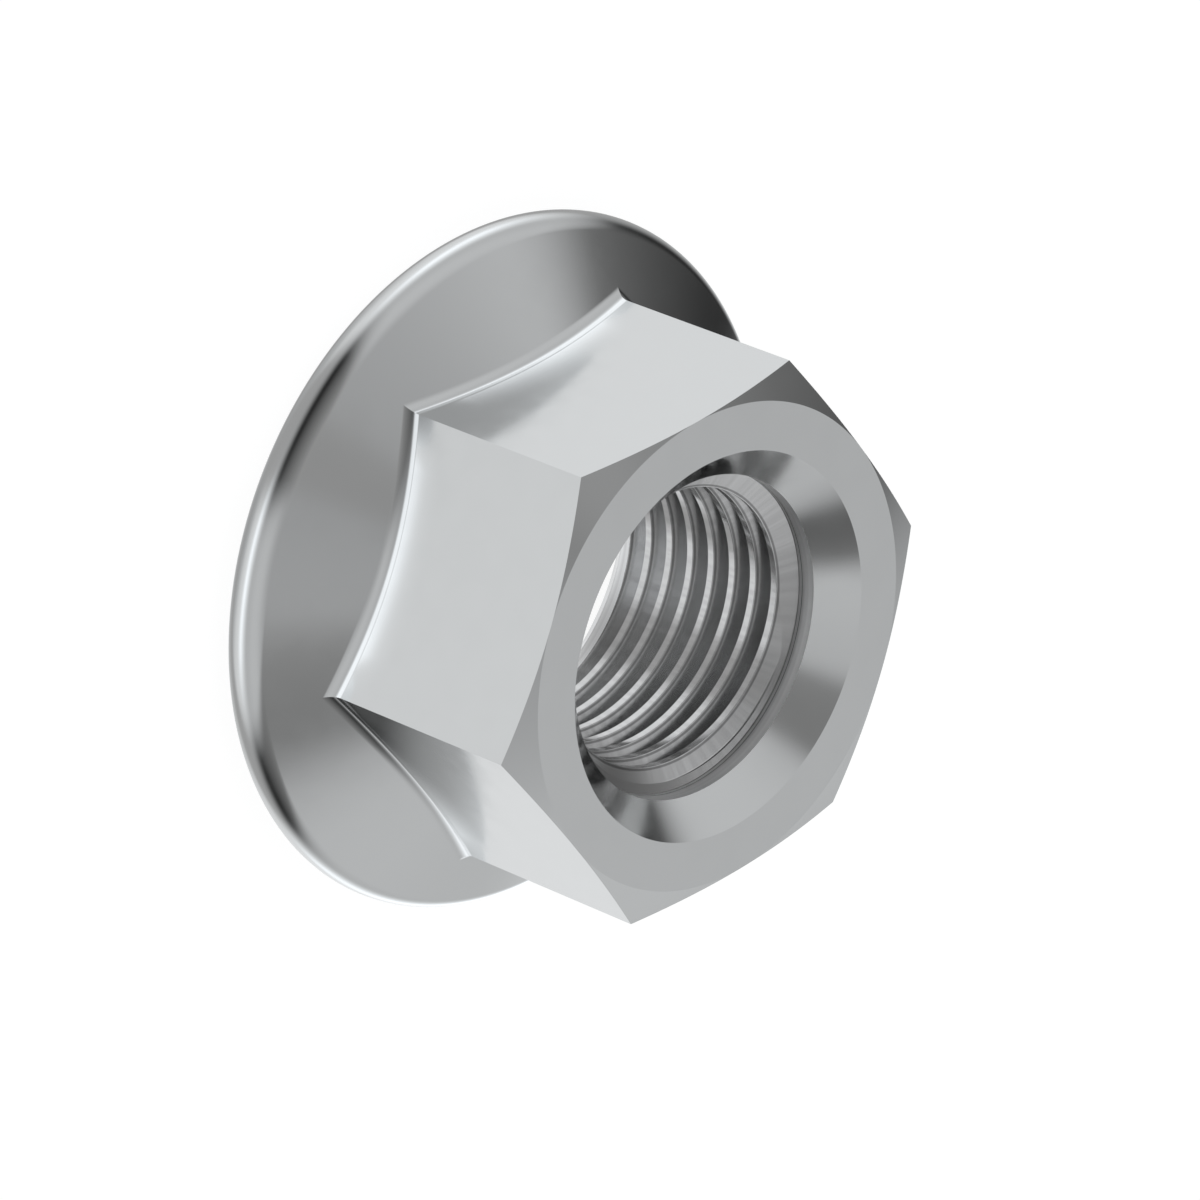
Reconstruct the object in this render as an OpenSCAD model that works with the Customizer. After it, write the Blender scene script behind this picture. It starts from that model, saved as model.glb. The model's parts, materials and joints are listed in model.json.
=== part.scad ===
// Hex flange nut. The hexagon and its washer-like flange are one forged piece of steel,
// turned on both faces and tapped right through. It stands on its bearing face at Z = 0,
// with the axis of the thread on +Z and two corners of the hexagon on the X axis.

/* [Hexagon] */
// Width across the flats, the size of the spanner
across_flats = 18; // [17:0.5:20]
// Whole height, from the bearing face to the top face
height = 12; // [11:0.5:16]
// Slope of the chamfer round the hexagon's top corners, in degrees
corner_slope = 20; // [10:1:30]

/* [Flange] */
// Diameter of the flange, over its rounded rim
flange_d = 26; // [25.5:0.5:30]
// Thickness of the rim, which is rounded to a full half circle
rim_t = 2; // [1.6:0.1:2.4]
// Slope of the cone on top of the flange, in degrees
cone_slope = 30; // [22:1:32]
// Radius of the hollow where the hexagon's flats run into the cone
foot_r = 0.6; // [0.3:0.1:0.9]

/* [Bore] */
// Nominal size of the thread, which is also the width of the relief at each end of it
thread_d = 12; // [11.6:0.1:12.4]
// Diameter inside the thread's crests
crest_d = 10.45; // [10:0.05:11]
// Length of the plain relief between each countersink and the thread
relief_l = 0.75; // [0.4:0.05:1.2]
// Slope of the ring that leads from each relief into the thread, in degrees
lead_slope = 24; // [20:1:45]
// Diameter of the countersink's mouth in each face
sink_d = 14.4; // [13.5:0.1:15.5]
// Slope of the countersink, in degrees
sink_slope = 45; // [35:1:55]

/* [Hidden] */

// Smoothness of the turned shapes
$fn = 180;
// Columns of the foot fillet along one flat, and steps round its hollow
foot_columns = 16;
foot_steps = 6;
// How far the fillet bites into the flat and the cone that it joins
foot_bite = 0.005;
// What a cutter reaches past a face
over = 1;

flat_x = across_flats / 2;
corner_r = flat_x / cos(30);
rim_r = rim_t / 2;
rim_x = flange_d / 2 - rim_r;

// The cone is the line r * sin(slope) + z * cos(slope) = cone_k, and touches the rim's circle
cone_k = rim_x * sin(cone_slope) + rim_r * cos(cone_slope) + rim_r;
cone_tip = cone_k / cos(cone_slope);

sink_depth = (sink_d - thread_d) / 2 * tan(sink_slope);
lead_depth = (thread_d - crest_d) / 2 * tan(lead_slope);
thread_end = sink_depth + relief_l + lead_depth;

// Hexagon with its top corners turned off. The chamfer's circle just touches the flats.
module hexagon() {
    corner_drop = (corner_r + over - flat_x) * tan(corner_slope);
    intersection() {
        cylinder(r = corner_r, h = height, $fn = 6);
        rotate_extrude()
            polygon([
                [0, -over],
                [corner_r + over, -over],
                [corner_r + over, height - corner_drop],
                [flat_x, height],
                [0, height],
            ]);
    }
}

// Flange with its cone and its round rim, one turned profile
module flange() {
    rotate_extrude() {
        polygon([
            [0, 0],
            [rim_x, 0],
            [rim_x, rim_r],
            [rim_x + rim_r * sin(cone_slope), rim_r + rim_r * cos(cone_slope)],
            [0, cone_tip],
        ]);
        intersection() {
            translate([rim_x, rim_r])
                circle(rim_r);
            translate([rim_x, 0])
                square([rim_t, rim_t]);
        }
    }
}

// The foot fillet is what a ball of radius foot_r leaves when it rolls along a flat and the
// cone at once. These give the ball's centre, beside the flat that faces +X, at offset y.
ball_x = flat_x + foot_r - foot_bite;
function ball_r(y) = norm([ball_x, y]);
function ball_z(y) = (cone_k + foot_r - foot_bite - ball_r(y) * sin(cone_slope)) / cos(cone_slope);

// Direction out of the cone, as seen from that centre
function cone_out(y) = [
    sin(cone_slope) * ball_x / ball_r(y),
    sin(cone_slope) * y / ball_r(y),
    cos(cone_slope),
];

// Direction a share s of the way round from the flat's outward normal to the cone's
function between(s, out) =
    let (whole = acos(out[0]))
    ([1, 0, 0] * sin((1 - s) * whole) + out * sin(s * whole)) / sin(whole);

function fillet_point(s, y) = [ball_x, y, ball_z(y)] - foot_r * between(s, cone_out(y));

// The same point, with the ball moved until the point lies in the half plane at an angle
function fillet_at(s, angle, y, tries = 8) =
    let (p = fillet_point(s, y))
    tries == 0 ? p : fillet_at(s, angle, y + p[0] * tan(angle) - p[1], tries - 1);

function turned(p, a) = [p[0] * cos(a) - p[1] * sin(a), p[0] * sin(a) + p[1] * cos(a), p[2]];

// One section through the fillet and the metal behind it
function foot_section(angle) =
    let (
        hollow = [for (k = [0:foot_steps]) fillet_at(k / foot_steps, angle, flat_x * tan(angle))],
        back_x = flat_x - foot_r,
        back = [back_x, back_x * tan(angle)],
        low = hollow[foot_steps][2] - foot_r
    )
    concat(hollow, [
        [hollow[foot_steps][0], hollow[foot_steps][1], low],
        [back[0], back[1], low],
        [back[0], back[1], hollow[0][2]],
    ]);

// Ring of sections round all six flats. It is mitred at the corners, as the forging is.
module foot() {
    sections = [
        for (flat = [0:5], c = [0:foot_columns - 1])
            let (angle = -30 + 60 * c / foot_columns)
            [for (p = foot_section(angle)) turned(p, 60 * flat + 30)]
    ];
    n = len(sections);
    m = foot_steps + 4;
    polyhedron(
        points = [for (section = sections, p = section) p],
        faces = [
            for (i = [0:n - 1], j = [0:m - 1])
                let (
                    a = i * m + j,
                    b = (i + 1) % n * m + j,
                    c = (i + 1) % n * m + (j + 1) % m,
                    d = i * m + (j + 1) % m
                )
                each [[a, b, c], [a, c, d]]
        ]
    );
}

// Everything that is taken out along the axis: countersinks, reliefs, lead-ins and the bore
module bore() {
    end = [
        [sink_d / 2 + over / tan(sink_slope), -over],
        [thread_d / 2, sink_depth],
        [thread_d / 2, sink_depth + relief_l],
        [crest_d / 2, thread_end],
    ];
    rotate_extrude()
        polygon(concat(
            [[0, -over]],
            end,
            [for (k = [3:-1:0]) [end[k][0], height - end[k][1]]],
            [[0, height + over]]
        ));
}

module flange_nut() {
    color("silver")
        difference() {
            union() {
                hexagon();
                flange();
                foot();
            }
            bore();
        }
}

flange_nut();
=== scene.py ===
# %% [markdown]
# A hex flange nut, rebuilt in Blender
#
# The nut is one forged piece of steel: a hexagon for the spanner, a wide conical flange that
# saves the washer, and a tapped bore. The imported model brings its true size. This lesson
# gives it the looks: a real thread, smooth metal and the soft light of a studio.

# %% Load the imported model
import json
import math

import bmesh
import bpy
import numpy as np
from mathutils import Matrix, Vector


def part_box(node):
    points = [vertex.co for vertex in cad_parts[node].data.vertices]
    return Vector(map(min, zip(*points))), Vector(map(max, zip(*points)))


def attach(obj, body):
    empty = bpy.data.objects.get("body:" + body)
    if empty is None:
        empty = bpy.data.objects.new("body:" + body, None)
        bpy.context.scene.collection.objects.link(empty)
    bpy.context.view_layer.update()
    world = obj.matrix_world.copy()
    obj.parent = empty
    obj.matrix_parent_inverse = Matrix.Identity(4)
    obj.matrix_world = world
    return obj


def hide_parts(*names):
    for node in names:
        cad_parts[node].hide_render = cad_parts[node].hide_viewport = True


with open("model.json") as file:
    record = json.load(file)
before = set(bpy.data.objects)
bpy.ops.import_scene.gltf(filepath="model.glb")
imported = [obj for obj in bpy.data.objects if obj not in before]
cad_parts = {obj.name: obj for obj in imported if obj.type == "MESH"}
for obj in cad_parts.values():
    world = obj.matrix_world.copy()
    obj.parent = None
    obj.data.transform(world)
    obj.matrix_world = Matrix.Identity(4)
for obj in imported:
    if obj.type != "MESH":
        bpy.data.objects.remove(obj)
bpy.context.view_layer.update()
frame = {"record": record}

node_low, node_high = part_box("flange_nut")
print("packed size in mm:", [round((b - a) * 1000, 2) for a, b in zip(node_low, node_high)])

# %% [markdown]
# Sizes
#
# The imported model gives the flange's width, the height and the bore. The other sizes are
# the nut's drawing: they are in metres here, because Blender works in metres.

# %% The nut's drawing
MM = 0.001
record_mounts = {mount["name"]: mount for mount in frame["record"]["mounts"]}

height = node_high.z - node_low.z
flange_r = (node_high.x - node_low.x) / 2
crest_r = record_mounts["thread"]["dims"]["r_mm"] * MM
thread_length = record_mounts["thread"]["dims"]["length_mm"] * MM

flat_x = 9.0 * MM
corner_slope = math.radians(20)
rim_r = 1.0 * MM
cone_slope = math.radians(30)
foot_r = 0.6 * MM
relief_r = 6.0 * MM
relief_length = 0.75 * MM
sink_r = 7.2 * MM
sink_depth = 1.2 * MM

pitch = 1.05 * MM

rim_x = flange_r - rim_r
cone_k = rim_x * math.sin(cone_slope) + rim_r * math.cos(cone_slope) + rim_r
lead_in = (height - thread_length) / 2
print("thread from", round(lead_in / MM, 3), "to", round((height - lead_in) / MM, 3), "mm")

# %% [markdown]
# How the mesh is laid out
#
# A nut could be cut from a cylinder with booleans, but a boolean leaves long thin triangles
# that catch the light badly on polished metal. Here the surface is laid out like the strips
# of a peeled orange: the circle is divided into columns, and every surface of the nut is a
# band of rows that runs round it. The exact normal of the surface is kept for each corner
# of each face, so the shading is true even where a flat runs smoothly into a hollow. Each
# band also says which finish it has. A flat takes up 60 degrees, half of them on each side
# of its middle.

# %% Columns round the nut
FLATS = 6
HALF_FLAT = 180 / FLATS
COLUMNS = 32
FINISHES = ["forged", "turned", "drilled", "tapped"]
corner_faces = []
face_finishes = []


def flat_middle(flat):
    """Angle of the middle of one flat, measured round the nut from the corner on the X axis."""
    return math.radians(2 * HALF_FLAT * flat + HALF_FLAT)


def column_angles(flat):
    """Angle of each column along one flat, measured round the nut, and from the flat's middle."""
    local = np.radians(np.linspace(-HALF_FLAT, HALF_FLAT, COLUMNS + 1))
    return local + flat_middle(flat), local


def add_band(finish, rows):
    """Joins rows of (points, normals) into faces. Each array holds one vector per column."""
    for (low_p, low_n), (high_p, high_n) in zip(rows, rows[1:]):
        for i in range(len(low_p) - 1):
            corner_faces.append([
                (low_p[i], low_n[i]),
                (low_p[i + 1], low_n[i + 1]),
                (high_p[i + 1], high_n[i + 1]),
                (high_p[i], high_n[i]),
            ])
            face_finishes.append(FINISHES.index(finish))


def ring(angles, radius, z, out, up):
    """A row on a turned surface. The normal has a part outwards and a part upwards."""
    cos, sin = np.cos(angles), np.sin(angles)
    radius = np.broadcast_to(radius, cos.shape)
    z = np.broadcast_to(z, cos.shape)
    points = np.stack([radius * cos, radius * sin, z], 1)
    normals = np.stack([out * cos, out * sin, np.full_like(cos, up)], 1)
    return points, normals


# %% [markdown]
# The hexagon
#
# The real hexagon is forged, then its top is turned, which leaves a flat ring inside a
# slight cone. The cone only catches the six corners, so it meets each flat in a curve.
# Along a column the flat is straight down, so one row at the cone and one at the foot are
# enough, and the curve comes from the columns.

# %% Top face, corner chamfer and flats
def chamfer_edge(local):
    """Radius and height where the corner chamfer meets the flat, for each column."""
    radius = flat_x / np.cos(local)
    return radius, height - (radius - flat_x) * math.tan(corner_slope)


def turned_about(vectors, angle):
    """Turns points or normals about the nut's axis."""
    cos, sin = math.cos(angle), math.sin(angle)
    x, y, z = vectors.T
    return np.stack([x * cos - y * sin, x * sin + y * cos, z], 1)


def add_top(flat):
    """Adds the top face and the corner chamfer over one flat."""
    angles, local = column_angles(flat)
    radius, z = chamfer_edge(local)
    slope_out, slope_up = math.sin(corner_slope), math.cos(corner_slope)
    add_band("turned", [
        ring(angles, flat_x, height, 0, 1),
        ring(angles, sink_r, height, 0, 1),
    ])
    add_band("turned", [
        ring(angles, radius, z, slope_out, slope_up),
        ring(angles, flat_x, height, slope_out, slope_up),
    ])


# %% [markdown]
# The foot of the hexagon
#
# Where the flats meet the cone the forging has a hollow fillet. It is the track of a ball
# that rolls along the flat and touches the cone at the same time. A bevel modifier could
# round such an edge, but it can't follow a flat and a cone with one true radius. Rolling
# the ball in numbers gives the exact hollow, and the corners mitre by themselves. A forged
# flat doesn't stop dead at its fillet: over its last millimetre and a half it already begins
# to lean outwards, less and less towards the corners, up to a fine crease where the fillet
# starts. The die is worn there, which leaves a narrow bright line along the start of the
# hollow. Both are only about a tenth of a millimetre, so the normals alone carry them.

# %% Foot fillet
FOOT_STEPS = 12
ROLL_TRIES = 12
RUN_STEPS = 8
RUN_HEIGHT = 1.5 * MM
# How far the flat leans just above the fillet, as a share of the way to the cone
RUN_SHARE = 0.145
# The stretch beside each corner over which the lean fades, and how gently it sets in
RUN_FADE = math.radians(9)
RUN_EASE = 1.5
# Places in the hollow, and how far the worn surface has turned at each, both as shares
WORN_SHARES = [(0, 0), (0.083, 0.14), (0.25, 0.17), (0.42, 0.42), (1, 1)]


def ball_centre(y):
    """Centre of the rolling ball beside the flat that faces +X, at offset y along it."""
    x = np.full_like(y, flat_x + foot_r)
    z = (cone_k + foot_r - np.hypot(x, y) * math.sin(cone_slope)) / math.cos(cone_slope)
    return np.stack([x, y, z], 1)


def blend_normals(share, centre):
    """Normals a share of the way from the flat's to the cone's, beside each ball centre."""
    reach = np.hypot(centre[:, 0], centre[:, 1])
    cone_out = np.stack([
        math.sin(cone_slope) * centre[:, 0] / reach,
        math.sin(cone_slope) * centre[:, 1] / reach,
        np.full_like(reach, math.cos(cone_slope)),
    ], 1)
    whole = np.arccos(cone_out[:, 0])
    flat_part = (np.sin((1 - share) * whole) / np.sin(whole))[:, None]
    cone_part = (np.sin(share * whole) / np.sin(whole))[:, None]
    return flat_part * np.array([1.0, 0.0, 0.0]) + cone_part * cone_out


def fillet_row(share, local):
    """Points and normals of the hollow, a share of the way from the flat to the cone.

    The ball is rolled along the flat until each point lies in its own column's section.
    """
    y = flat_x * np.tan(local)
    for _ in range(ROLL_TRIES):
        centre = ball_centre(y)
        point = centre - foot_r * blend_normals(share, centre)
        y = y + point[:, 0] * np.tan(local) - point[:, 1]
    return point, blend_normals(np.interp(share, *zip(*WORN_SHARES)), centre)


def run_row(down, local):
    """A row on the last stretch of the flat, a share of the way down it to the fillet."""
    point = fillet_row(0, local)[0] + np.array([0.0, 0.0, RUN_HEIGHT * (1 - down)])
    from_corner = math.radians(HALF_FLAT) - np.abs(local)
    lean = np.clip(from_corner / RUN_FADE, 0, 1) ** RUN_EASE
    return point, blend_normals(RUN_SHARE * lean * down ** RUN_EASE, ball_centre(point[:, 1]))


def add_flat_and_foot(flat):
    """Adds one flat with its foot, and gives the foot's end on the cone."""
    angles, local = column_angles(flat)
    middle = flat_middle(flat)
    run = [run_row(step / RUN_STEPS, local) for step in range(RUN_STEPS + 1)]
    hollow = [fillet_row(step / FOOT_STEPS, local) for step in range(FOOT_STEPS + 1)]
    run = [(turned_about(p, middle), turned_about(n, middle)) for p, n in run]
    hollow = [(turned_about(p, middle), turned_about(n, middle)) for p, n in hollow]
    radius, z = chamfer_edge(local)
    facing = np.tile([math.cos(middle), math.sin(middle), 0.0], (len(angles), 1))
    top = (ring(angles, radius, z, 0, 0)[0], facing)
    add_band("forged", [(run[0][0], facing), top])
    add_band("forged", run[::-1])
    add_band("forged", hollow[::-1])
    return hollow[-1][0]


# %% [markdown]
# The flange
#
# The flange is a cone that ends in a rim rounded to a half circle, and its underside is
# the bearing face. All of it is a profile turned round the axis, so it could come from the
# Screw modifier. It is built as bands instead, so that it shares its columns with the
# hexagon and closes without a seam.

# %% Cone, rim and bearing face
RIM_STEPS = 28


def add_flange(flat, foot_end):
    """Adds the cone, the rim and the bearing face under one flat."""
    angles, _ = column_angles(flat)
    out, up = math.sin(cone_slope), math.cos(cone_slope)
    cone_normals = ring(angles, 1, 0, out, up)[1]
    rim_top = ring(angles, rim_x + rim_r * out, rim_r + rim_r * up, out, up)
    add_band("forged", [rim_top, (foot_end, cone_normals)])
    rim_end = math.pi / 2 - cone_slope
    rows = []
    for turn in np.linspace(-math.pi / 2, rim_end, RIM_STEPS + 1):
        cos, sin = math.cos(turn), math.sin(turn)
        rows.append(ring(angles, rim_x + rim_r * cos, rim_r + rim_r * sin, cos, sin))
    add_band("forged", rows)
    add_band("turned", [ring(angles, sink_r, 0, 0, -1), ring(angles, rim_x, 0, 0, -1)])


# %% [markdown]
# The thread
#
# A tapped thread is one groove that climbs round the bore like a staircase. Blender's Screw
# modifier can sweep its profile, but the ends then have to be trimmed with booleans. In a
# section through the axis the thread is a zigzag that slides along as the section turns,
# so each column here gets that zigzag, slid by its share of a pitch, and what slid past a
# lead-in cone stops on it. The groove then runs out into the cone as it does behind a real
# tap. Crests are a little over a quarter of the pitch wide, the flanks stand at 60 degrees
# to each other, the root is round and the crest's edges are a little worn, as in a real
# metric thread.

# %% One pitch of the thread's profile
FLANK = math.radians(60)
crest_w = 0.29 * MM
crest_round = 0.03 * MM
root_r = 0.08 * MM
EDGE_STEPS = 5
ROOT_STEPS = 8


def arc(centre_z, centre_depth, radius, start, end, steps):
    """Points (z, depth, slope) on an arc. A positive radius bulges towards the axis."""
    slopes = np.linspace(start, end, steps + 1)
    return [
        (centre_z + radius * math.sin(slope), centre_depth - radius * math.cos(slope), slope)
        for slope in slopes
    ]


def thread_profile():
    """Knots (z, depth, slope) of the groove between the middles of two crests."""
    edge = crest_w / 2 - crest_round * math.tan(FLANK / 2)
    sharp = (pitch - crest_w) / 2 * math.tan(FLANK)
    bottom = sharp - root_r / math.cos(FLANK) + root_r
    low_edge = arc(edge, crest_round, crest_round, 0, FLANK, EDGE_STEPS)
    root = arc(pitch / 2, bottom - root_r, -root_r, FLANK, -FLANK, ROOT_STEPS)
    high_edge = arc(pitch - edge, crest_round, crest_round, -FLANK, 0, EDGE_STEPS)
    return np.array(low_edge + root + high_edge), bottom


profile, thread_depth = thread_profile()
print("thread depth in mm:", round(thread_depth / MM, 3), "with", len(profile), "knots in a pitch")

# %% [markdown]
# Where the groove lies in the bore was read off the photograph: in the section that the
# camera looks at squarely, the lower edge of one crest stands 9.32 mm above the bearing
# face. A right-hand thread climbs as it turns anticlockwise, seen from above.

# %% The groove, cut off at the lead-in cones
square_section = math.radians(-159.33)
crest_low = 9.324 * MM
# Turns of the groove below and above that crest, enough to fill the bore
THREAD_TURNS = range(-10, 2)
lead_end = sink_depth + relief_length
# How much wider a lead-in cone gets for each step along the axis
lead_gain = (relief_r - crest_r) / (lead_in - lead_end)


def cut_off(knots, gap):
    """Moves all knots before the gap turns positive onto the point where it does."""
    first = int(np.argmax(gap >= 0))
    share = gap[first] / (gap[first] - gap[first - 1])
    knots[:first] = knots[first] + (knots[first - 1] - knots[first]) * share
    return knots


def groove_section(angle):
    """Knots (z, radius, slope) of the thread in the section at this angle, from below upwards."""
    climb = pitch * (angle - square_section) / math.tau
    crest_middle = crest_low + crest_w / 2 + climb
    knots = np.concatenate([profile + (crest_middle + pitch * k, crest_r, 0) for k in THREAD_TURNS])
    knots = cut_off(knots, knots[:, 1] - crest_r - (lead_in - knots[:, 0]) * lead_gain)
    knots = knots[::-1]
    knots = cut_off(knots, knots[:, 1] - crest_r - (knots[:, 0] - (height - lead_in)) * lead_gain)
    return knots[::-1]


# %% [markdown]
# The rest of the bore
#
# Above and below the thread the bore opens in three steps: the lead-in cone, a plain relief
# and a countersink that guides the bolt. Each is one band, which a Screw modifier could turn
# as well, but bands share their edge with the thread. The normal of the thread also leans a
# little sideways, because the groove climbs as it goes round.

# %% Bore, from the top face to the bearing face
def add_bore(flat):
    """Adds the thread under one flat, and the lead-in, relief and countersink at both ends."""
    angles, _ = column_angles(flat)
    sections = np.array([groove_section(a) for a in angles])
    z, radius, slope = sections[:, :, 0], sections[:, :, 1], sections[:, :, 2]
    cos, sin = np.cos(angles)[:, None], np.sin(angles)[:, None]
    lean = -pitch / math.tau * np.sin(slope) / radius
    out = -np.cos(slope)
    points = np.stack([radius * cos, radius * sin, z], 2)
    normals = np.stack([out * cos - lean * sin, out * sin + lean * cos, np.sin(slope)], 2)
    normals /= np.linalg.norm(normals, axis=2, keepdims=True)
    add_band("tapped", [(points[:, k], normals[:, k]) for k in range(points.shape[1])][::-1])

    lead_angle = math.atan(1 / lead_gain)
    slant = math.sqrt(0.5)
    for side in (1, -1):
        def step(r, depth, out, up):
            """A row at a depth below the top face, or as far above the bearing face."""
            level = height - depth if side > 0 else depth
            return ring(angles, r, level, out, up * side)

        thread_edge = points[:, -1] if side > 0 else points[:, 0]
        lead = step(relief_r, lead_end, -math.sin(lead_angle), math.cos(lead_angle))
        bands = [
            ("turned", [step(sink_r, 0, -slant, slant), step(relief_r, sink_depth, -slant, slant)]),
            ("drilled", [step(relief_r, sink_depth, -1, 0), step(relief_r, lead_end, -1, 0)]),
            ("tapped", [lead, (thread_edge, lead[1])]),
        ]
        for finish, band in bands:
            add_band(finish, band if side > 0 else band[::-1])


# %% [markdown]
# One closed mesh
#
# The bands are only loose faces so far. Merging the points that lie on each other joins
# them into one closed skin, and the faces that shrank to nothing where the thread runs out
# vanish with it. The normals ride along as an attribute of the face corners and become the
# mesh's custom normals at the end, so hard edges stay crisp and hollows stay smooth.

# %% Join the bands
MERGE_DISTANCE = 0.0002 * MM

for flat in range(FLATS):
    add_top(flat)
    add_flange(flat, add_flat_and_foot(flat))
    add_bore(flat)

loose_points = np.array([corner[0] for face in corner_faces for corner in face])
loose_normals = np.array([corner[1] for face in corner_faces for corner in face])
mesh = bpy.data.meshes.new("nut_skin")
mesh.from_pydata(loose_points, [], np.arange(len(loose_points)).reshape(-1, 4))
mesh.polygons.foreach_set("material_index", face_finishes)
carried = mesh.attributes.new("true_normal", "FLOAT_VECTOR", "CORNER")
carried.data.foreach_set("vector", loose_normals.ravel())

skin = bmesh.new()
skin.from_mesh(mesh)
bmesh.ops.remove_doubles(skin, verts=skin.verts, dist=MERGE_DISTANCE)
open_edges = [edge for edge in skin.edges if len(edge.link_faces) != 2]
skin.to_mesh(mesh)
skin.free()
print("faces:", len(mesh.polygons), "open edges:", len(open_edges))

corner_normals = np.empty(len(mesh.loops) * 3)
mesh.attributes["true_normal"].data.foreach_get("vector", corner_normals)
mesh.attributes.remove(mesh.attributes["true_normal"])
mesh.shade_smooth()
mesh.normals_split_custom_set(corner_normals.reshape(-1, 3))

nut = bpy.data.objects.new("nut", mesh)
bpy.context.collection.objects.link(nut)
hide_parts("flange_nut")
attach(nut, "root")
print("nut of", sum(len(face.vertices) - 2 for face in mesh.polygons), "triangles")

# %% [markdown]
# The camera
#
# The picture was taken with a long lens from well above the bearing face, and turned so
# that the bore looks to the lower right. Matching the six corners and the flange's outline
# gave the direction, the distance and the roll.

# %% Camera
camera_azimuth = math.radians(20.694)
camera_height = math.radians(40.530)
camera_distance = 333.34 * MM
camera_roll = math.radians(111.675)
aim = Vector((2.756, 1.052, 8.549)) * MM

back = Vector((
    math.cos(camera_height) * math.cos(camera_azimuth),
    math.cos(camera_height) * math.sin(camera_azimuth),
    math.sin(camera_height),
))
lens = bpy.data.cameras.new("long_lens")
lens.lens = 284.37
lens.sensor_width = 36
lens.clip_start = 0.01
lens.clip_end = 10
camera = bpy.data.objects.new("camera", lens)
turn = back.to_track_quat("Z", "Y").to_matrix() @ Matrix.Rotation(camera_roll, 3, "Z")
camera.matrix_world = Matrix.Translation(aim + back * camera_distance) @ turn.to_4x4()
bpy.context.collection.objects.link(camera)
bpy.context.scene.camera = camera
print("camera at", [round(v / MM, 2) for v in camera.matrix_world.translation])

# %% [markdown]
# Working with nodes
#
# Materials and the studio's light are both node trees. Six small helpers keep the cells
# that follow short: they add a node, feed a socket, do a sum, fade smoothly between two
# values, join three numbers into a place, and draw a soft noise. Lengths in the materials
# are in millimetres, which suits the scale of tool marks.

# %% Node helpers
def add_node(tree, kind, **settings):
    """Adds a node of a kind and sets its own settings, such as its operation."""
    node = tree.nodes.new(kind)
    for name, value in settings.items():
        setattr(node, name, value)
    return node


def feed(tree, socket, value):
    """Puts a number on a socket, or wires another node's output to it."""
    if isinstance(value, (int, float)):
        socket.default_value = value
    else:
        tree.links.new(value, socket)


def maths(tree, operation, first, second=0.0):
    """A sum of two values, or of one where the operation needs no second."""
    node = add_node(tree, "ShaderNodeMath", operation=operation)
    feed(tree, node.inputs[0], first)
    feed(tree, node.inputs[1], second)
    return node.outputs[0]


def fade(tree, source, low, high, at_low=0.0, at_high=1.0):
    """Runs smoothly from one value at low to another at high, and stays there beyond."""
    node = add_node(tree, "ShaderNodeMapRange", interpolation_type="SMOOTHSTEP")
    for socket, value in zip(node.inputs, (source, low, high, at_low, at_high)):
        feed(tree, socket, value)
    return node.outputs[0]


def join(tree, x, y, z):
    """Three numbers as one place."""
    node = add_node(tree, "ShaderNodeCombineXYZ")
    for socket, value in zip(node.inputs, (x, y, z)):
        feed(tree, socket, value)
    return node.outputs[0]


def noise(tree, place, scale, detail):
    """Soft noise around a half. The scale is its waves in a millimetre, detail its finer layers."""
    node = add_node(tree, "ShaderNodeTexNoise")
    feed(tree, node.inputs["Vector"], place)
    feed(tree, node.inputs["Scale"], scale)
    feed(tree, node.inputs["Detail"], detail)
    return node.outputs[0]


# %% [markdown]
# Bright steel
#
# The whole nut is bare bright steel, so every finish starts from the same metal: a
# Principled shader with Metallic at 1 and the grey of clean steel, which keeps not quite
# two thirds of the light that falls on it. The finishes differ in how the surface was made,
# and that lies in the roughness and the tiny relief. Only in the bore does the tone change
# too: the matt reliefs are painted paler, as painted light, and the thread is painted darker,
# as painted shade. The tree also works out each point's radius, because lathe and tap both
# work round the axis.

# %% The metal that all finishes share
STEEL = (0.632, 0.640, 0.640, 1.0)
TO_MM = 1000.0
MICRON = 1e-6


def new_steel(name):
    """A material of bare steel. Gives its tree, its shader and a point's x, y, z and radius."""
    material = bpy.data.materials.new(name)
    material.use_nodes = True
    tree = material.node_tree
    shader = tree.nodes["Principled BSDF"]
    shader.inputs["Metallic"].default_value = 1
    shader.inputs["Base Color"].default_value = STEEL
    in_mm = add_node(tree, "ShaderNodeVectorMath", operation="SCALE")
    feed(tree, in_mm.inputs[0], add_node(tree, "ShaderNodeTexCoord").outputs["Object"])
    feed(tree, in_mm.inputs["Scale"], TO_MM)
    parts = add_node(tree, "ShaderNodeSeparateXYZ")
    feed(tree, parts.inputs[0], in_mm.outputs[0])
    x, y, z = parts.outputs
    squares = [maths(tree, "POWER", part, 2) for part in (x, y)]
    radius = maths(tree, "SQRT", maths(tree, "ADD", *squares))
    mesh.materials.append(material)
    return tree, shader, (x, y, z), radius


def emboss(tree, shader, microns, relief):
    """Raises the surface by so many micrometres where the relief is 1."""
    bump = add_node(tree, "ShaderNodeBump")
    feed(tree, bump.inputs["Distance"], microns * MICRON)
    feed(tree, bump.inputs["Height"], relief)
    feed(tree, shader.inputs["Normal"], bump.outputs[0])


# %% [markdown]
# The forged finish
#
# Flats, foot, cone and rim come from a polished die. Such a surface is smooth but never
# quite even: it has soft, shallow waves a few tenths of a millimetre long, and its gloss
# drifts a little from place to place. Two soft noises do that, one in the relief and one
# in the roughness. An image of real steel would repeat and would need unwrapping. Nearly
# all of a noise lies between 0.3 and 0.7, so the fades run over that span.

# %% Forged: flats, foot, cone and rim
NOISE_SPAN = (0.3, 0.7)
FORGED_ROUGHNESS = (0.10, 0.15)
FORGED_DRIFT = 0.9
WAVES_PER_MM = 2.2
WAVE_MICRONS = 0.25

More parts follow.
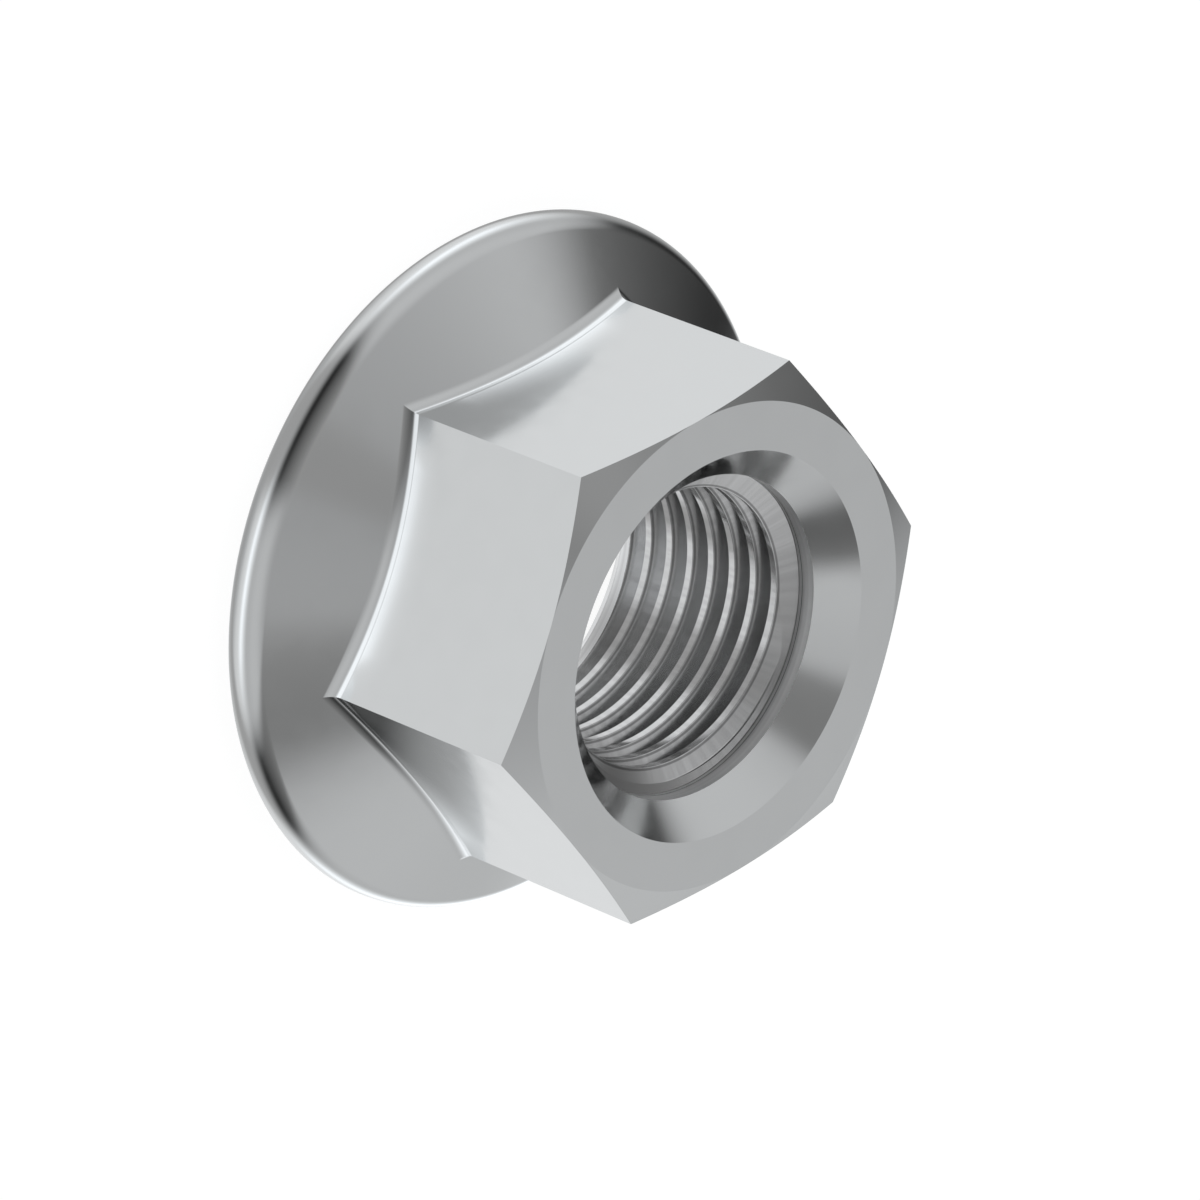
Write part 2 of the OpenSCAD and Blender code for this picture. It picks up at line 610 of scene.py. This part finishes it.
tree, shader, (x, y, z), _ = new_steel("bright_steel")
place = join(tree, x, y, z)
drift = noise(tree, place, scale=FORGED_DRIFT, detail=3.0)
waves = noise(tree, place, scale=WAVES_PER_MM, detail=2.0)
feed(tree, shader.inputs["Roughness"], fade(tree, drift, *NOISE_SPAN, *FORGED_ROUGHNESS))
emboss(tree, shader, WAVE_MICRONS, waves)
print("forged finish: waves of", WAVE_MICRONS, "micrometres")

# %% [markdown]
# The turned finish
#
# The top face, the chamfer, the bearing face and the countersinks were cut on a lathe. The
# tool leaves fine rings round the axis. A noise that reads only the radius and the height,
# and not the angle, gives the same value all the way round, so it draws exactly such rings.
# They are only about a tenth of a micrometre deep, and dull the shine a little.

# %% Turned: top face, chamfer, bearing face and countersinks
TURNED_ROUGHNESS = (0.12, 0.17)
TURNED_DRIFT = 0.7
TURNED_RINGS_PER_MM = 9.0
TURNED_MICRONS = 0.12

tree, shader, (x, y, z), radius = new_steel("turned_steel")
rings = noise(tree, join(tree, radius, z, 0.0), scale=TURNED_RINGS_PER_MM, detail=2.0)
drift = noise(tree, join(tree, x, y, z), scale=TURNED_DRIFT, detail=2.0)
feed(tree, shader.inputs["Roughness"], fade(tree, drift, *NOISE_SPAN, *TURNED_ROUGHNESS))
emboss(tree, shader, TURNED_MICRONS, rings)
print("turned finish: rings of", TURNED_MICRONS, "micrometres")

# %% [markdown]
# The drilled finish
#
# The plain reliefs at both ends of the thread were bored out with a blunter tool, to give
# the tap room. They are almost matt, with a few soft rings where the tool's feed changed.
# Their whole tone is painted paler than the steel, as painted light in the deep bore, and two
# fine dark lines at the inner end are a painted reflection of the thread. The rings are the
# same idea as on the turned faces, but read from the height alone, and they change the tone
# too, because a rougher ring throws less light back. The lines are measured in millimetres
# from the relief's inner end, towards the countersink.

# %% Drilled: reliefs
RING_SPAN = (0.35, 0.65)
# Tones of the reliefs: painted light, paler than the steel, varied at random by the rings
DRILLED_PAINTED_LIGHT_TONES = (0.88, 0.76)
DRILLED_ROUGHNESS = (0.42, 0.52)
DRILLED_RINGS_PER_MM = 6.0
DRILLED_MICRONS = 0.5
# Two fine dark lines: a painted reflection of the thread in the relief
PAINTED_REFLECTION_LINES = [0.0, 0.15]
PAINTED_REFLECTION_WIDTH = 0.06
PAINTED_REFLECTION_TONE = 0.25

tree, shader, (_, _, z), _ = new_steel("drilled_steel")
rings = noise(tree, join(tree, z, 0.0, 0.0), scale=DRILLED_RINGS_PER_MM, detail=1.0)
tone = fade(tree, rings, *RING_SPAN, *DRILLED_PAINTED_LIGHT_TONES)
from_middle = maths(tree, "ABSOLUTE", maths(tree, "SUBTRACT", z, height / 2 * TO_MM))
inner_end = (height / 2 - lead_end) * TO_MM
# Painted reflection: the relief's tone is darkened along each of the two lines
for start in PAINTED_REFLECTION_LINES:
    near = inner_end + start
    core = near + PAINTED_REFLECTION_WIDTH / 2
    fade_in = fade(tree, from_middle, near, core)
    fade_out = fade(tree, from_middle, core, near + PAINTED_REFLECTION_WIDTH, 1.0, 0.0)
    painted_dark_line = maths(tree, "MULTIPLY", fade_in, fade_out)
    tone = maths(tree, "MULTIPLY", tone, fade(tree, painted_dark_line, 0.0, 1.0, 1.0, PAINTED_REFLECTION_TONE))
feed(tree, shader.inputs["Base Color"], join(tree, tone, tone, tone))
feed(tree, shader.inputs["Roughness"], fade(tree, rings, *RING_SPAN, *DRILLED_ROUGHNESS))
emboss(tree, shader, DRILLED_MICRONS, rings)
print("drilled finish: rings of", DRILLED_MICRONS, "micrometres and", len(PAINTED_REFLECTION_LINES), "lines")

# %% [markdown]
# The tapped finish
#
# A tap cuts the groove in small bites and chatters as it goes, so the bore is duller than
# the rest, with soft marks across the groove. The noise for them reads the direction from
# the axis finely and the height coarsely, which stretches it along the axis. It reads the
# direction as two parts, sideways and forwards, because an angle would jump at half a turn
# and leave a seam. The thread's tone is painted darker than the steel as painted shade, the
# groove darker still, and darkest in a thin painted dark line beside each crest's edge,
# while the crests themselves are rubbed bright.

# %% Tapped: thread and lead-in rings
MARKS_ROUND = 26.0
MARKS_ALONG = 0.5
tree, shader, (x, y, z), radius = new_steel("tapped_steel")
sideways, forwards = [maths(tree, "DIVIDE", part, radius) for part in (x, y)]
place = join(
    tree,
    maths(tree, "MULTIPLY", sideways, MARKS_ROUND),
    maths(tree, "MULTIPLY", forwards, MARKS_ROUND),
    maths(tree, "MULTIPLY", z, MARKS_ALONG),
)
marks = noise(tree, place, scale=1.0, detail=3.0)
print("tapped finish:", MARKS_ROUND, "waves in one radian of the bore")

# %% [markdown]
# Crest, groove and the line between them are told apart by how far a point lies outside the
# crests, in millimetres. The groove's painted shade fades in right behind the crest's edge,
# and the painted dark line fades out again a little deeper.

# %% Crest, line and groove
GROOVE_STARTS = (0.01, 0.05)
PAINTED_SHADE_LINE_ENDS = (0.08, 0.13)
# Painted shade: the thread darker than the steel, the groove darker still, the line darkest
CREST_TONE = 0.60
GROOVE_PAINTED_SHADE_TONE = 0.56
PAINTED_SHADE_LINE_TONE = 0.5
MARK_TONES = (1.05, 0.94)
TAPPED_ROUGHNESS = (0.19, 0.25)
CREST_GLOSS = 0.6
MARK_MICRONS = 0.12

off_crest = maths(tree, "SUBTRACT", radius, crest_r * TO_MM)
groove = fade(tree, off_crest, *GROOVE_STARTS)
# Painted shade: a thin dark line just behind each crest's edge
painted_dark_line = maths(tree, "MULTIPLY", groove, fade(tree, off_crest, *PAINTED_SHADE_LINE_ENDS, 1.0, 0.0))
# Painted shade: the groove darker than the crest
tone = fade(tree, groove, 0.0, 1.0, CREST_TONE, GROOVE_PAINTED_SHADE_TONE)
tone = maths(tree, "MULTIPLY", tone, fade(tree, painted_dark_line, 0.0, 1.0, 1.0, PAINTED_SHADE_LINE_TONE))
tone = maths(tree, "MULTIPLY", tone, fade(tree, marks, *NOISE_SPAN, *MARK_TONES))
feed(tree, shader.inputs["Base Color"], join(tree, tone, tone, tone))
dull = fade(tree, marks, *NOISE_SPAN, *TAPPED_ROUGHNESS)
rubbed = fade(tree, groove, 0.0, 1.0, CREST_GLOSS, 1.0)
feed(tree, shader.inputs["Roughness"], maths(tree, "MULTIPLY", dull, rubbed))
emboss(tree, shader, MARK_MICRONS, maths(tree, "MULTIPLY", marks, groove))
print("marks of", MARK_MICRONS, "micrometres across the groove")

# %% [markdown]
# The studio
#
# Smooth metal shows its surroundings, so its look is painted with light. The photograph
# tells what stood round the nut: each spot of the metal mirrors one direction. There were
# three tall soft boxes with dark gaps between them, brightest in a low band, and a darker
# ceiling. Lamps with shapes could build this, but the world can say it directly: how bright
# is the light that comes from this direction? That needs only the direction's height and
# its bearing, in degrees, and a few colour ramps over them. The boxes stood a little askew
# to the nut, so the height is measured along an axis that leans by two degrees.

# %% Bearing and height of a direction
world = bpy.data.worlds.new("studio")
bpy.context.scene.world = world
world.use_nodes = True
tree = world.node_tree
tree.nodes.clear()

LEAN = math.radians(2)
LEAN_BEARING = math.radians(-80)
direction = add_node(tree, "ShaderNodeTexCoord").outputs["Generated"]
parts = add_node(tree, "ShaderNodeSeparateXYZ")
feed(tree, parts.inputs[0], direction)
upward = add_node(tree, "ShaderNodeVectorMath", operation="DOT_PRODUCT")
feed(tree, upward.inputs[0], direction)
upward.inputs[1].default_value = (
    math.sin(LEAN) * math.cos(LEAN_BEARING),
    math.sin(LEAN) * math.sin(LEAN_BEARING),
    math.cos(LEAN),
)
rise = maths(tree, "DEGREES", maths(tree, "ARCSINE", upward.outputs["Value"]))
bearing = maths(tree, "DEGREES", maths(tree, "ARCTAN2", parts.outputs[1], parts.outputs[0]))


def ramp(tree, source, stops, tint=(1.0, 1.0, 1.0)):
    """A smooth curve over degrees. Each stop is (degrees, value), with values from 0 to 1."""
    node = add_node(tree, "ShaderNodeValToRGB")
    node.color_ramp.interpolation = "B_SPLINE"
    first, last = stops[0][0], stops[-1][0]
    elements = node.color_ramp.elements
    while len(elements) < len(stops):
        elements.new(1.0)
    for element, (degrees, value) in zip(elements, stops):
        element.position = (degrees - first) / (last - first)
        element.color = [value * part for part in tint] + [1.0]
    share = maths(tree, "SUBTRACT", source, first)
    feed(tree, node.inputs[0], maths(tree, "DIVIDE", share, last - first))
    return node.outputs[0]


# %% [markdown]
# The tones are written as they look on a screen, from 0 to 255, when the steel mirrors
# them. The screen's curve and the share of light that the steel keeps are taken out here,
# and what is left is the light itself. The curves came from fitting such a studio to the
# look of the metal in the photograph, and were then changed from render to render.
# The places say where round the nut the gaps and the band stand, and the wall shares let
# the walls be a little darker on some sides than on others.

# %% Soft boxes, gaps and the low band
GLOW = 1.5
BOX_TINT = (0.99, 1.0, 1.01)
BAND_TINT = (0.94, 1.0, 1.06)


def lit(level):
    """Light behind a tone that the steel shows, by the screen's own curve, in shares of GLOW."""
    share = level / 255
    linear = share / 12.92 if share <= 0.04045 else ((share + 0.055) / 1.055) ** 2.4
    return linear / STEEL[1] / GLOW


box_tones = [
    (-90, 153), (-78, 156), (-68, 165), (-60, 178), (-52, 198), (-44, 208), (-36, 209), (-28, 203),
    (-18, 198), (-8, 184), (0, 176), (10, 178), (22, 184), (40, 183), (52, 172), (64, 158),
    (75, 154), (80, 146), (85, 112), (90, 98),
]
gap_tones = [
    (-90, 153), (-70, 155), (-32, 154), (-24, 147), (-17, 130), (-11, 97), (-6, 62), (-2, 32),
    (3, 32), (8, 52), (13, 66), (21, 82), (32, 98), (44, 112), (56, 124), (68, 138),
    (75, 146), (80, 140), (85, 112), (90, 98),
]
wall_shares = [
    (-180, 0.96), (-152, 0.98), (-128, 0.84), (-114, 0.9), (-100, 1.0), (-40, 1.0), (10, 0.95),
    (100, 0.95), (150, 0.96), (180, 0.96),
]
band_light = [
    (-46, 0), (-38, 0.03), (-33, 0.10), (-28, 0.38), (-23, 0.46), (-18, 0.36), (-13, 0.21),
    (-8, 0.11), (-3, 0.02), (2, 0),
]
gap_places = [
    (-180, 0), (-172, 0), (-158, 0.12), (-149, 0.35), (-143, 0.8), (-138, 1), (-111, 1),
    (-105.5, 0.5), (-99, 0.12), (-93, 0), (-36, 0), (-28, 0.15), (-22, 0.5), (-16.5, 1), (-12, 1),
    (22, 1), (28.7, 0.5), (34, 0.15), (42, 0), (87, 0), (93, 0.05), (98, 0.5), (104, 1),
    (126, 1), (131.5, 0.5), (137, 0.18), (147, 0), (180, 0),
]
band_places = [
    (-180, 1), (-166, 1), (-148, 0), (-104, 0), (-92, 0.2), (-78, 1), (-54, 1), (-40, 0.45),
    (-26, 0), (19, 0), (27, 0.45), (35, 1), (72, 1), (84, 0.35), (94, 0), (134, 0),
    (142, 0.45), (150, 1), (180, 1),
]

print("studio with", len(gap_places), "stops round and", len(box_tones), "stops up")

# %% [markdown]
# The studio is put together in three steps, as a painter would do it. The gaps go over the
# boxes where their bearings say so, then the walls get their shade, and the light of the
# low band is added on top.

# %% Put the studio together
def mix(tree, share, first, second, blend="MIX"):
    """Goes from the first colour to the second by a share, or multiplies or adds the second."""
    node = add_node(tree, "ShaderNodeMix", data_type="RGBA", blend_type=blend)
    sockets = (node.inputs["Factor"], node.inputs[6], node.inputs[7])
    for socket, value in zip(sockets, (share, first, second)):
        feed(tree, socket, value)
    return node.outputs[2]


box_light = [(degrees, lit(tone)) for degrees, tone in box_tones]
gap_light = [(degrees, lit(tone)) for degrees, tone in gap_tones]
low_light = [(degrees, light / STEEL[1] / GLOW) for degrees, light in band_light]
boxes = ramp(tree, rise, box_light, BOX_TINT)
gaps = ramp(tree, rise, gap_light)
band = ramp(tree, rise, low_light, BAND_TINT)
walls = mix(tree, ramp(tree, bearing, gap_places), boxes, gaps)
walls = mix(tree, 1.0, walls, ramp(tree, bearing, wall_shares), blend="MULTIPLY")
walls = mix(tree, ramp(tree, bearing, band_places), walls, band, blend="ADD")
studio = add_node(tree, "ShaderNodeBackground")
feed(tree, studio.inputs["Strength"], GLOW)
feed(tree, studio.inputs["Color"], walls)
print("strongest box:", round(max(light for _, light in box_light) * GLOW, 2), "times white")

# %% [markdown]
# The camera itself looks past the studio at plain white, as in a catalogue picture. Light
# Path tells which kind of ray asks: straight from the camera, or through something clear,
# it gets a strength of 1, which is white. All others get the studio.

# %% White backdrop for the camera
plain = add_node(tree, "ShaderNodeBackground")
plain.inputs["Color"].default_value = (1, 1, 1, 1)
ray = add_node(tree, "ShaderNodeLightPath")
choose = add_node(tree, "ShaderNodeMixShader")
sees_white = maths(tree, "MAXIMUM", ray.outputs["Is Camera Ray"], ray.outputs["Is Transmission Ray"])
feed(tree, choose.inputs[0], sees_white)
feed(tree, choose.inputs[1], studio.outputs[0])
feed(tree, choose.inputs[2], plain.outputs[0])
feed(tree, add_node(tree, "ShaderNodeOutputWorld").inputs[0], choose.outputs[0])
bpy.context.scene.view_settings.view_transform = "Standard"
print("backdrop at a strength of", plain.inputs["Strength"].default_value)

# %% [markdown]
# The floor
#
# The nut stands on white paper that runs out of the picture. Most of its white is a glow,
# so it meets the white backdrop without a line. The rest is plain matt paper that the
# studio lights, and where the nut keeps that light off, a faint soft shadow is left. The
# metal doesn't mirror the paper: the studio's low tones are the floor that it shows. The
# paper lies a hair below the bearing face, so that the two don't share one plane, and its
# back is clear, so the underside of the nut can be looked at from below.

# %% White floor
FLOOR_SIZE = 2.0
FLOOR_GAP = 0.02 * MM
PAPER_GLOW = 0.9
PAPER_GREY = 0.25

bpy.ops.mesh.primitive_plane_add(size=FLOOR_SIZE, location=(0, 0, -FLOOR_GAP))
floor = bpy.context.object
floor.name = "floor"
floor.visible_glossy = False
paper = bpy.data.materials.new("white_paper")
paper.use_nodes = True
tree = paper.node_tree
tree.nodes.clear()
glow = add_node(tree, "ShaderNodeEmission")
glow.inputs["Strength"].default_value = PAPER_GLOW
matt = add_node(tree, "ShaderNodeBsdfDiffuse")
matt.inputs["Color"].default_value = (PAPER_GREY, PAPER_GREY, PAPER_GREY, 1)
both = add_node(tree, "ShaderNodeAddShader")
feed(tree, both.inputs[0], glow.outputs[0])
feed(tree, both.inputs[1], matt.outputs[0])
one_sided = add_node(tree, "ShaderNodeMixShader")
feed(tree, one_sided.inputs[0], add_node(tree, "ShaderNodeNewGeometry").outputs["Backfacing"])
feed(tree, one_sided.inputs[1], both.outputs[0])
feed(tree, one_sided.inputs[2], add_node(tree, "ShaderNodeBsdfTransparent").outputs[0])
feed(tree, add_node(tree, "ShaderNodeOutputMaterial").inputs[0], one_sided.outputs[0])
floor.data.materials.append(paper)
print("floor of", FLOOR_SIZE, "m")
